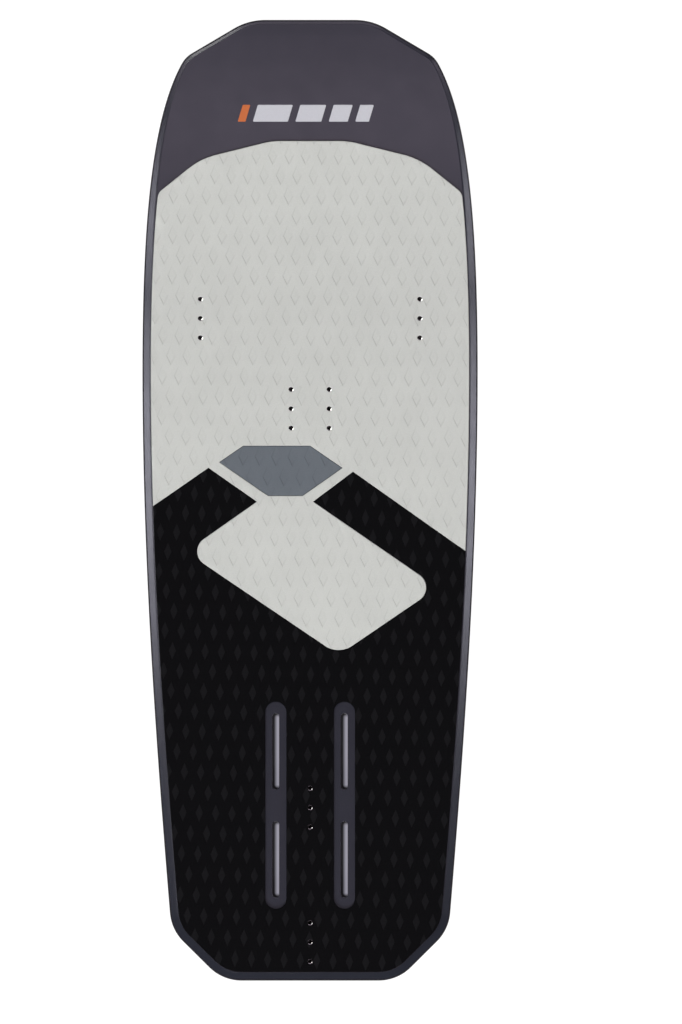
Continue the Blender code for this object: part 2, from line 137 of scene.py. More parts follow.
# Threaded inserts
INSERT_ROWS = ["front_left", "front_right", "centre_left", "centre_right", "rear", "tail"]
FRONT_ROWS, TAIL_ROWS = INSERT_ROWS[:4], INSERT_ROWS[4:]
BUSH_NAMES = [f"bush_{row}_{number}" for row in INSERT_ROWS for number in (1, 2, 3)]
BUSH_RADIUS = 4.5 * MM
BUSH_LENGTH = 18 * MM
BUSH_FLOOR = 2 * MM
BUSH_EDGE = 0.3 * MM
BUSH_SIDES = 28
THREAD_PITCH = 1 * MM
THREAD_MINOR = 2.5 * MM
THREAD_DEPTH = 0.5 * MM
THREAD_TURNS = 9
THREAD_ROWS = 6
DISH_RADIUS = 3.1 * MM
DISH_SLOPE = 0.25
DISH_LEAD = 0.05 * MM
PAD_HOLE_RADIUS = 3.2 * MM
ROUND_STEPS = 28

# EVA deck pads
PAD_INSET = 11 * MM
PAD_THICKNESS = 4 * MM
PAD_SEAM = 0.4 * MM
PAD_NOSE_CORNERS = [(0.0499, 0.4720, 0.096), (0.1434, 0.4489, 0.096)]
PAD_SIDE_CORNER_Y = 0.4039
PAD_SIDE_CORNER_RADIUS = 0.016
CUTOUT_WIDTH = 28 * MM
CUTOUT_LENGTH = 272 * MM
LEFT_EDGE_Y = -0.0076
RIGHT_EDGE_Y = -0.0665
LEFT_PEAK = (-0.1333, 0.0428, 0.0)
LEFT_NOTCH = (-0.0701, -0.0014, 0.0)
WINDOW_LEFT = (-0.1635, -0.0670, 0.020)
WINDOW_BOTTOM = (0.0375, -0.2030, 0.032)
WINDOW_RIGHT = (0.1680, -0.1140, 0.020)
RIGHT_NOTCH = (0.0043, -0.0014, 0.0)
RIGHT_PEAK = (0.0564, 0.0377, 0.0)
ACCENT_CORNERS = [
    (-0.1189, 0.0504, 0.0),
    (-0.0875, 0.0718, 0.0),
    (0.0001, 0.0718, 0.0),
    (0.0423, 0.0428, 0.0),
    (-0.0098, 0.0064, 0.0),
    (-0.0550, 0.0064, 0.0),
]
PAD_EDGE = [
    (0.0, 0.70 * MM),
    (0.15 * MM, 0.36 * MM),
    (0.40 * MM, 0.11 * MM),
    (0.80 * MM, 0.0),
    (1.60 * MM, 0.0),
]
ROLL_SMOOTH_ANGLE = math.radians(50)
ROLL_SLACK = 0.01 * MM
FACET_ANGLE = math.radians(8)
BACKING_RUNG = 14 * MM
RUNG_SPANS = 8
BACKING_MARGIN = 3 * MM
SLIVER_AREA = 0.005 * MM**2

# Emboss: staggered rows of pressed diamonds, each with a soft rim around it
RIM_WIDTH = 0.30 * MM
RIM_DEPTH = 0.05 * MM
RIM_SLACK = 0.02 * MM

# Painted nose stripes: a plain row of slanted bars
STRIPE_CENTRE = (-0.0055, 0.5080)
STRIPE_HEIGHT = 22 * MM
STRIPE_SLANT = 0.30
STRIPE_GAP = 9.75 * MM
STRIPE_WIDTHS = [10 * MM, 46 * MM, 34 * MM, 25 * MM, 18 * MM]
STRIPE_CORNER = 1.2 * MM
STRIPE_LIFT = 0.03 * MM
STRIPE_THICKNESS = 0.10 * MM

# Camera and studio
CAMERA_PLACE = (0.0406, -0.0150, 40.036)
SENSOR_WIDTH = 36.0
SEEN_HEIGHT = 1.3437
CAMERA_ABOVE_DECK = 40.0
FLOOR_SIZE = 160.0
FLOOR_DROP = 0.5 * MM

# Colours, as linear light
DECK_COLOUR = (0.0158, 0.0172, 0.0244)
LIGHT_EVA = (0.512, 0.530, 0.489)
# Darker copy for the pit walls of the light pad: painted shade in the creases
LIGHT_EVA_PAINTED_SHADE = (0.494, 0.511, 0.472)
ACCENT_EVA = (0.121, 0.138, 0.151)
# Darker copy for the pit walls of the accent pad: painted shade in the creases
ACCENT_EVA_PAINTED_SHADE = (0.116, 0.132, 0.145)
BLACK_EVA = (0.0037, 0.0037, 0.0041)
# Lighter copy for the pit floors of the black pad: a painted sheen, on top of the smoother pressed skin that
# its finish gives
BLACK_EVA_PAINTED_SHEEN = (0.0071, 0.0071, 0.0078)
LINER_COLOUR = (0.20, 0.195, 0.22)
METAL_COLOUR = (0.58, 0.57, 0.55)
# Darker copy for the bushes in the black pad: painted shade
METAL_PAINTED_SHADE_COLOUR = (0.20, 0.195, 0.19)
WHITE_INK = (0.50, 0.51, 0.53)
ORANGE_INK = (0.50, 0.13, 0.033)
FLOOR_COLOUR = (0.08, 0.08, 0.08)

# Light: the room, and softboxes as (name, place, aim, width, length, radiance, colour)
ROOM_LEVEL = 0.35
CEILING_LEVEL = 0.05
ROOM_TOP = 0.25
CEILING_START = 0.45
SOFTBOXES = [
    ("left_box", (-2.45, -0.01, 1.30), (-0.21, -0.01, 0.03), 0.55, 0.30, 14.5, (1.0, 0.98, 1.12)),
    ("right_box", (2.45, -0.01, 1.30), (0.21, -0.01, 0.03), 0.55, 0.30, 14.0, (1.0, 0.98, 1.12)),
    ("key", (-1.36, -5.49, 5.66), (0, 0, 0), 2.8, 2.8, 23.8, (1.0, 1.0, 1.0)),
    ("spark", (-3.97, 1.45, 7.95), (0, 0, 0), 3.6, 0.8, 14.0, (1.0, 1.0, 1.0)),
    ("nose_bank", (0, -2.6, 10.0), (0, 0.5, 0), 4.0, 2.4, 2.0, (1.0, 0.84, 1.04)),
    ("front_bank", (0, 3.5, 10.0), (0, 0.5, 0), 8.0, 2.0, 2.1, (1.0, 0.86, 1.04)),
    ("left_bank", (-8.0, 0.6, 10.0), (0, 0.5, 0), 3.2, 3.0, 2.1, (1.0, 0.86, 1.04)),
    ("right_bank", (8.0, 0.6, 10.0), (0, 0.5, 0), 3.2, 3.0, 2.1, (1.0, 0.86, 1.04)),
]

# Lights that nothing mirrors, so that they draw no bright lines along the rails
MATT_LIGHTS = ("key",)

# The floor glows like a light table, all but the paper seen through the mast slots, whose glow has painted
# shade and a painted lit strip
FLOOR_GLOW = 1.0
SLOT_GLOW = (0.290, 0.282, 0.335)
SLOT_SHADE = 0.012
SLOT_SHADE_REACH = (0.15, 0.17)
SLOT_SHADE_FADE = 1.15
SLOT_LIGHT_SHIFT = 2.8 * MM
SLOT_LIGHT_CORE = 0.8 * MM
SLOT_LIGHT_EDGE = 4.9 * MM
SLOT_LIGHT_SHORT = 1.8 * MM


# Plan shapes


def bezier(start, start_handle, end_handle, end, steps):
    """Points along a cubic curve, both ends included."""
    points = []
    for step in range(steps + 1):
        t = step / steps
        weights = ((1 - t) ** 3, 3 * (1 - t) ** 2 * t, 3 * (1 - t) * t**2, t**3)
        ends = (start, start_handle, end_handle, end)
        points.append(tuple(sum(w * p[axis] for w, p in zip(weights, ends)) for axis in (0, 1)))
    return points


def corner_arc(before, corner, after, radius, steps=None):
    """The tangent arc that rounds a corner, as points from one tangent point to the other."""
    here = Vector(corner)
    to_before = (Vector(before) - here).normalized()
    to_after = (Vector(after) - here).normalized()
    half_angle = to_before.angle(to_after) / 2
    tangent = radius / math.tan(half_angle)
    middle = here + (to_before + to_after).normalized() * (radius / math.sin(half_angle))
    first = here + to_before * tangent - middle
    turn = first.angle_signed(here + to_after * tangent - middle)
    steps = steps or max(2, math.ceil(abs(turn) / ARC_STEP))
    points = []
    for step in range(steps + 1):
        angle = -turn * step / steps
        cos, sin = math.cos(angle), math.sin(angle)
        points.append((middle.x + first.x * cos - first.y * sin, middle.y + first.x * sin + first.y * cos))
    return points


def rounded_loop(corners):
    """A closed outline from (x, y, radius) corners; a radius of 0 keeps the corner sharp."""
    points = []
    for index, (x, y, radius) in enumerate(corners):
        if radius > 0:
            before = corners[index - 1][:2]
            after = corners[(index + 1) % len(corners)][:2]
            points += corner_arc(before, (x, y), after, radius)
        else:
            points.append((x, y))
    return points


def inset_loop(points, distances):
    """A clockwise outline moved inwards, or a counter-clockwise one moved outwards."""
    moved = []
    for index, point in enumerate(points):
        here = Vector(point)
        incoming = (here - Vector(points[index - 1])).normalized()
        outgoing = (Vector(points[(index + 1) % len(points)]) - here).normalized()
        normal_in = Vector((incoming.y, -incoming.x))
        normal_out = Vector((outgoing.y, -outgoing.x))
        shift = (normal_in + normal_out) * (distances[index] / (1 + normal_in.dot(normal_out)))
        moved.append((here.x + shift.x, here.y + shift.y))
    return moved


def even_inset(points, distance):
    return inset_loop(points, [distance] * len(points))


def right_side():
    """The right half of the board outline, from the nose to the tail."""
    widest = (HALF_WIDTH, WIDEST_Y)
    slope = Vector((SHOULDER_SLOPE, -1)).normalized() * SHOULDER_HANDLE
    handle = (SHOULDER[0] + slope.x, SHOULDER[1] + slope.y)
    forward_handle = (HALF_WIDTH, WIDEST_Y + FORWARD_HANDLE)
    aft_handle = (HALF_WIDTH, WIDEST_Y - AFT_HANDLE)
    forward = bezier(SHOULDER, handle, forward_handle, widest, FORWARD_STEPS)
    aft = bezier(widest, aft_handle, TAIL_HANDLE_TIP, TAIL_CORNER, AFT_STEPS)
    after_shoulder = past_arc(forward, NOSE_CORNER, SHOULDER_RADIUS)
    before_tail = past_arc(aft[::-1], TAIL_CHAMFER_END, TAIL_CORNER_RADIUS)[::-1]
    points = corner_arc((0, NOSE_Y), NOSE_CORNER, SHOULDER, NOSE_CORNER_RADIUS)
    points += corner_arc(NOSE_CORNER, SHOULDER, after_shoulder[0], SHOULDER_RADIUS)
    points += after_shoulder + before_tail[1:]
    points += corner_arc(before_tail[-1], TAIL_CORNER, TAIL_CHAMFER_END, TAIL_CORNER_RADIUS)
    points += corner_arc(TAIL_CORNER, TAIL_CHAMFER_END, (0, TAIL_Y), TAIL_CORNER_RADIUS)
    return points


def tangent_length(before, corner, after, radius):
    here = Vector(corner)
    return radius / math.tan((Vector(before) - here).angle(Vector(after) - here) / 2)


def past_arc(curve, before, radius):
    """The curve's points that lie beyond the arc that rounds its first point."""
    corner, *points = curve
    while math.dist(points[0], corner) < tangent_length(before, corner, points[0], radius) + MM:
        points = points[1:]
    return points


def mirrored(right_half):
    """A closed clockwise outline from its right half, nose first."""
    return right_half + [(-x, y) for x, y in reversed(right_half)]


def circle(x, y, radius, steps=ROUND_STEPS):
    """A clockwise circle."""
    angles = [math.tau * step / steps for step in range(steps)]
    return [(x + radius * math.sin(angle), y + radius * math.cos(angle)) for angle in angles]


def stadium(x, y, width, length):
    """A clockwise round-ended slot along Y."""
    radius = width / 2
    straight = length / 2 - radius
    angles = [math.pi * step / ROUND_STEPS for step in range(ROUND_STEPS + 1)]
    top = [(x - radius * math.cos(a), y + straight + radius * math.sin(a)) for a in angles]
    bottom = [(x + radius * math.cos(a), y - straight - radius * math.sin(a)) for a in angles]
    return top + bottom


OUTLINE = mirrored(right_side())


# Heights along the board


def bottom_height(y):
    rise = max(0, y - ROCKER_START_Y) / (NOSE_Y - ROCKER_START_Y)
    return ROCKER_HEIGHT * rise**ROCKER_POWER


def deck_height(y):
    rise = max(0, y - DECK_RISE_START_Y) / (NOSE_Y - DECK_RISE_START_Y)
    return THICKNESS + (DECK_NOSE_HEIGHT - THICKNESS) * rise**DECK_RISE_POWER


def chamfer_height(y):
    return CHAMFER_SHARE * (deck_height(y) - bottom_height(y))


def towards_nose(y, at_middle, at_nose):
    """A size that changes smoothly from its value amidships to its value at the nose."""
    t = min(1, max(0, (y - BEVEL_FADE_START_Y) / (NOSE_Y - BEVEL_FADE_START_Y)))
    return at_middle + (at_nose - at_middle) * t * t * (3 - 2 * t)


def bevel_width(y):
    return towards_nose(y, BEVEL_WIDTH, NOSE_BEVEL_WIDTH)


def edge_height(y):
    """The deck skin's outer top edge, level with the rim of the hull."""
    return deck_height(y) - towards_nose(y, BEVEL_DROP, NOSE_BEVEL_DROP)


def hull_inside(y, inset):
    """The inner face of the hull's bottom at a distance in from the outline."""
    slope = chamfer_height(y) / CHAMFER_WIDTH
    laminate = HULL_LAMINATE * math.sqrt(1 + slope * slope)
    return bottom_height(y) + max(HULL_LAMINATE, chamfer_height(y) - slope * inset + laminate)


# Mesh building


def add_object(name, mesh):
    made = bpy.data.objects.new(name, mesh)
    bpy.context.scene.collection.objects.link(made)
    return made


def close_mesh(name, vertices, faces):
    """A mesh with its faces turned outwards."""
    mesh = bpy.data.meshes.new(name)
    mesh.from_pydata(vertices, [], faces)
    work = bmesh.new()
    work.from_mesh(mesh)
    bmesh.ops.recalc_face_normals(work, faces=work.faces)
    work.to_mesh(mesh)
    work.free()
    return mesh


def join_rings(rings, closed=False):
    """Vertices and side faces through rings that have the same number of points."""
    count = len(rings[0])
    vertices = [point for ring in rings for point in ring]
    faces = []
    for level in range(len(rings) if closed else len(rings) - 1):
        here, there = level * count, (level + 1) % len(rings) * count
        for index in range(count):
            after = (index + 1) % count
            faces.append((here + index, here + after, there + after, there + index))
    return vertices, faces


def fillet(profile):
    """An open (inset, height, radius) profile as plain points, its corners rounded in equal steps.

    A short lead on each side of a fillet keeps the shading of the flats beside it flat."""
    points = []
    for index, (inset, height, radius) in enumerate(profile):
        if radius > 0:
            before, after = Vector(profile[index - 1][:2]), Vector(profile[index + 1][:2])
            arc = corner_arc(before, (inset, height), after, radius, FILLET_STEPS)
            first, last = Vector(arc[0]), Vector(arc[-1])
            lead_in = first + (before - first).normalized() * FILLET_LEAD
            lead_out = last + (after - last).normalized() * FILLET_LEAD
            points += [tuple(lead_in), *arc, tuple(lead_out)]
        else:
            points.append((inset, height))
    return points


def board_loft(name, profile_at):
    """A closed body whose section at each outline point is profile_at(y), with ladder end caps.

    A point keeps its share of the board's thickness as its ring moves in from the outline."""
    profiles = [fillet(profile_at(y)) for _, y in OUTLINE]
    rings = []
    for level in range(len(profiles[0])):
        spots = inset_loop(OUTLINE, [profile[level][0] for profile in profiles])
        ring = []
        for (x, y), (_, outer_y), profile in zip(spots, OUTLINE, profiles):
            depth = deck_height(outer_y) - bottom_height(outer_y)
            share = (profile[level][1] - bottom_height(outer_y)) / depth
            ring.append((x, y, bottom_height(y) + share * (deck_height(y) - bottom_height(y))))
        rings.append(ring)
    vertices, faces = join_rings(rings)
    count = len(OUTLINE)
    for low in (0, (len(rings) - 1) * count):
        for index in range(count // 2 - 1):
            opposite = count - 1 - index
            faces.append((low + index, low + index + 1, low + opposite - 1, low + opposite))
    return add_object(name, close_mesh(name, vertices, faces))


def flared_prisms(name, shapes):
    """One mesh of upright prisms, each given as a list of (outline, height) levels."""
    vertices, faces = [], []
    for levels in shapes:
        base, count = len(vertices), len(levels[0][0])
        points, sides = join_rings([[(x, y, z) for x, y in outline] for outline, z in levels])
        vertices += points
        faces += [tuple(base + corner for corner in side) for side in sides]
        faces.append(tuple(range(base, base + count)))
        faces.append(tuple(range(len(vertices) - count, len(vertices))))
    return close_mesh(name, vertices, faces)


def cut(target, name, shapes):
    """Takes the prisms out of the target at once, so that the cutter needn't stay."""
    tool = add_object(name, flared_prisms(name, shapes))
    modifier = target.modifiers.new(name, "BOOLEAN")
    modifier.operation = "DIFFERENCE"
    modifier.solver = "EXACT"
    modifier.object = tool
    settled = bpy.data.meshes.new_from_object(target.evaluated_get(bpy.context.evaluated_depsgraph_get()))
    target.modifiers.clear()
    target.data = settled
    bpy.data.objects.remove(tool)


def shade(piece, angle=SMOOTH_ANGLE):
    """Smooth shading, with a sharp edge wherever two faces turn more than the angle."""
    piece.data.shade_smooth()
    piece.data.set_sharp_from_angle(angle=angle)


def place(piece, slot, nodes, *materials):
    """Gives a piece its finish and puts it in the frame in place of its CAD nodes."""
    if not piece.data.materials:
        for made in materials:
            piece.data.materials.append(made)
    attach(piece, "root")
    if nodes:
        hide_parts(*nodes)
    return piece


def centre(node):
    low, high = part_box(node)
    return (low + high) / 2


SLOT_CENTRES = {name: centre(f"slot_liner_{name}") for name in SLOT_NAMES}
SLOT_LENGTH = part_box("slot_liner_left_front")[1].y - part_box("slot_liner_left_front")[0].y - 2 * LINER_WALL
LAND_CENTRES = [
    (SLOT_CENTRES[f"{row}_front"] + SLOT_CENTRES[f"{row}_rear"]) / 2 for row in ("left", "right")
]
BUSH_CENTRES = {name: centre(name) for name in BUSH_NAMES}


def slot_outline(place_name, width):
    """A mast slot at any width, its end arcs keeping their centres."""
    middle = SLOT_CENTRES[place_name]
    return stadium(middle.x, middle.y, width, SLOT_LENGTH - SLOT_CLEAR_WIDTH + width)


# Structure


def hull_profile(y):
    """The hull's section: inner floor, inner wall, rebate, rim, rail wall, chamfer, flat bottom."""
    ledge = edge_height(y) - DECK_LAMINATE - GAP
    return [
        (CHAMFER_WIDTH, hull_inside(y, CHAMFER_WIDTH), 0),
        (HULL_WALL, hull_inside(y, HULL_WALL), 0),
        (HULL_WALL, ledge, 0),
        (RAIL_LEDGE, ledge, 0),
        (RAIL_LEDGE, edge_height(y), 0),
        (0, edge_height(y), RIM_ROUND),
        (0, bottom_height(y) + chamfer_height(y), RAIL_ROUND),
        (CHAMFER_WIDTH, bottom_height(y), BOTTOM_ROUND),
        (CHAMFER_WIDTH + FLAT_MARGIN, bottom_height(y), 0),
    ]


def make_hull(finish):
    hull = board_loft("hull", hull_profile)
    width = SLOT_CLEAR_WIDTH + 2 * LINER_WALL + 2 * GAP
    slots = []
    for name in SLOT_NAMES:
        wide, narrow = slot_outline(name, width + 4 * RIM_ROUND), slot_outline(name, width)
        slots.append([(wide, CUTTER_BASE), (wide, -RIM_ROUND), (narrow, RIM_ROUND), (narrow, THICKNESS / 2)])
    cut(hull, "hull_slots", slots)
    shade(hull)
    place(hull, "dark_laminate", ["hull_shell"], finish)


def deck_profile(y):
    """The deck skin's section: underside, edge, bevel, and a flat margin inside the bevel."""
    outer = RAIL_LEDGE + GAP
    inner = outer + bevel_width(y)
    return [
        (inner, deck_height(y) - DECK_LAMINATE, 0),
        (outer, edge_height(y) - DECK_LAMINATE, 0),
        (outer, edge_height(y), RIM_ROUND),
        (inner, deck_height(y), DECK_ROUND),
        (inner + FLAT_MARGIN, deck_height(y), 0),
    ]


def make_deck(finish):
    deck = board_loft("deck", deck_profile)
    land_floor = THICKNESS - LAND_DEPTH
    lands = []
    for middle in LAND_CENTRES:
        land = stadium(middle.x, middle.y, LAND_WIDTH, LAND_LENGTH)
        flare = even_inset(land, -2 * LAND_FLARE)
        low_level, high_level = THICKNESS - LAND_FLARE, THICKNESS + LAND_FLARE
        lands.append([(land, land_floor), (land, low_level), (flare, high_level), (flare, CUTTER_TOP)])
    cut(deck, "lands", lands)
    slots = []
    for name in SLOT_NAMES:
        narrow, mouth = slot_outline(name, SLOT_CLEAR_WIDTH), slot_outline(name, SLOT_MOUTH_WIDTH)
        slots.append([(narrow, land_floor - SLOT_MOUTH_DEPTH), (mouth, land_floor + SLOT_MOUTH_RUN_OUT)])
    cut(deck, "mouths", slots)
    holes = [circle(spot.x, spot.y, BUSH_RADIUS + GAP) for spot in BUSH_CENTRES.values()]
    cut(deck, "insert_holes", [[(hole, CUTTER_BASE), (hole, CUTTER_TOP)] for hole in holes])
    shade(deck)
    place(deck, "deck_paint", ["deck_skin"], finish)


def make_liner(name, finish):
    """One slot liner: a stadium tube with rounded lips."""
    low, high = (corner.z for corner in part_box(f"slot_liner_{name}"))
    inner, outer = SLOT_CLEAR_WIDTH, SLOT_CLEAR_WIDTH + 2 * LINER_WALL
    lip, slight = LINER_LIP, 0.3 * LINER_LIP
    levels = [
        (outer, low + lip),
        (outer, high - lip),
        (outer - 2 * slight, high - slight),
        (outer - 2 * lip, high),
        (inner + 2 * lip, high),
        (inner + 2 * slight, high - slight),
        (inner, high - lip),
        (inner, low + lip),
        (inner + 2 * slight, low + slight),
        (inner + 2 * lip, low),
        (outer - 2 * lip, low),
        (outer - 2 * slight, low + slight),
    ]
    rings = [[(x, y, z) for x, y in slot_outline(name, width)] for width, z in levels]
    liner = add_object(f"liner_{name}", close_mesh(f"liner_{name}", *join_rings(rings, closed=True)))
    shade(liner)
    place(liner, "liner_plastic", [f"slot_liner_{name}"], finish)


def bush_mesh():
    """A blind M6 bush about its own axis, mouth up at height 0, with a helical thread."""
    turns = [math.tau * step / BUSH_SIDES for step in range(BUSH_SIDES)]
    dish_depth = (DISH_RADIUS - THREAD_MINOR) * DISH_SLOPE
    outside = [
        (BUSH_RADIUS - BUSH_EDGE, -BUSH_LENGTH),
        (BUSH_RADIUS, BUSH_EDGE - BUSH_LENGTH),
        (BUSH_RADIUS, -BUSH_EDGE),
        (BUSH_RADIUS - BUSH_EDGE, 0),
        (DISH_RADIUS, 0),
        (DISH_RADIUS - DISH_LEAD, -DISH_LEAD * DISH_SLOPE),
        (THREAD_MINOR, -dish_depth),
        (THREAD_MINOR, -dish_depth - BUSH_EDGE),
    ]
    rings = [[(radius, z)] * BUSH_SIDES for radius, z in outside]
    thread_top = -dish_depth - 2 * BUSH_EDGE
    for row in range(THREAD_TURNS * THREAD_ROWS + 1):
        z = thread_top - row * THREAD_PITCH / THREAD_ROWS
        ring = []
        for angle in turns:
            phase = (-z / THREAD_PITCH + angle / math.tau) % 1
            ring.append((THREAD_MINOR + THREAD_DEPTH * abs(2 * phase - 1), z))
        rings.append(ring)
    floor = BUSH_FLOOR - BUSH_LENGTH
    rings.append([(THREAD_MINOR, floor + THREAD_MINOR / 2)] * BUSH_SIDES)
    rings.append([(BUSH_EDGE, floor)] * BUSH_SIDES)
    solid = [[(r * math.sin(a), r * math.cos(a), z) for (r, z), a in zip(ring, turns)] for ring in rings]
    vertices, faces = join_rings(solid)
    faces.append(tuple(range(BUSH_SIDES)))
    faces.append(tuple(range(len(vertices) - BUSH_SIDES, len(vertices))))
    mesh = close_mesh("bush", vertices, faces)
    mesh.shade_smooth()
    mesh.set_sharp_from_angle(angle=SMOOTH_ANGLE)
    return mesh


def make_bushes(plain_finish, shaded_finish):
    """The bushes; the two rows on the black pad get a darker copy of the metal, painted shade where the black
    pad bounces less light into them than the white pad does.
    """
    for rows, finish in ((FRONT_ROWS, plain_finish), (TAIL_ROWS, shaded_finish)):
        shared = bush_mesh()
        for name, spot in BUSH_CENTRES.items():
            if name[5:-2] in rows:
                bush = add_object(f"insert_{name[5:]}", shared)
                bush.location = (spot.x, spot.y, THICKNESS)
                place(bush, "bush_metal", [name], finish)


# Deck pads


def pad_side(high_y, low_y):
    """The pad's right edge between two places along the board, ends included."""
    half = len(OUTLINE) // 2
    edge = even_inset(OUTLINE, PAD_INSET)[:half]
    points = []
    for (x1, y1), (x2, y2) in zip(edge, edge[1:]):
        for cut_y in (high_y, low_y):
            if y2 < cut_y <= y1:
                share = (cut_y - y1) / (y2 - y1)
                points.append((x1 + (x2 - x1) * share, cut_y))
        if low_y < y2 < high_y:
            points.append((x2, y2))
    return points


def as_corners(points):
    return [(x, y, 0.0) for x, y in points]


def graphic_line():
    """The seam between the light pad and the black pad, from the left rail to the right rail."""
    window = [WINDOW_LEFT, WINDOW_BOTTOM, WINDOW_RIGHT]
    return [LEFT_PEAK, LEFT_NOTCH, *window, RIGHT_NOTCH, RIGHT_PEAK]


def flipped(corners):
    """The same corners on the other side of the board, in clockwise order."""
    return [(-x, y, radius) for x, y, radius in reversed(corners)]


def front_pad_outline():
    """The light pad, from the nose clockwise along the right rail, the graphic and the left rail."""
    right = as_corners(pad_side(PAD_SIDE_CORNER_Y, RIGHT_EDGE_Y))
    left = as_corners(pad_side(PAD_SIDE_CORNER_Y, LEFT_EDGE_Y))
    corner = (*right[0][:2], PAD_SIDE_CORNER_RADIUS)
    spread = [side for side in right if side[1] < corner[1] - PAD_SIDE_CORNER_RADIUS / 2]
    left_spread = [side for side in left if side[1] < corner[1] - PAD_SIDE_CORNER_RADIUS / 2]
    nose = PAD_NOSE_CORNERS + [corner]
    seam = list(reversed(graphic_line()))
    return rounded_loop(nose + spread + seam + flipped(left_spread) + flipped(nose))


def rear_pad_outline():
    """The black pad, from the right rail round the tail to the left rail and along the graphic."""
    right = as_corners(pad_side(RIGHT_EDGE_Y, TAIL_Y))
    left = flipped(as_corners(pad_side(LEFT_EDGE_Y, TAIL_Y)))
    return rounded_loop(right + left + graphic_line())


def inside(points, loop):
    """Which of the points lie inside a closed loop, by counting edges to their right."""
    x, y = points[:, 0], points[:, 1]
    found = np.zeros(len(points), bool)
    for (x1, y1), (x2, y2) in zip(loop, loop[1:] + loop[:1]):
        if y1 != y2:
            crosses = (y1 > y) != (y2 > y)
            found ^= crosses & (x < x1 + (y - y1) * (x2 - x1) / (y2 - y1))
    return found


def inside_shape(points, outline, holes):
    """Which of the points lie inside the outline and outside every hole."""
    found = inside(points, outline)
    for hole in holes:
        found &= ~inside(points, hole)
    return found


def edge_distance(points, loops):
    """Each point's distance to the nearest edge of the loops."""
    nearest = np.full(len(points), np.inf)
    for loop in loops:
        for start, end in zip(loop, loop[1:] + loop[:1]):
            start, along = np.array(start), np.subtract(end, start)
            share = np.clip((points - start) @ along / (along @ along), 0, 1)
            gaps = points - start - share[:, None] * along
            nearest = np.minimum(nearest, np.einsum("ij,ij->i", gaps, gaps))
    return np.sqrt(nearest)


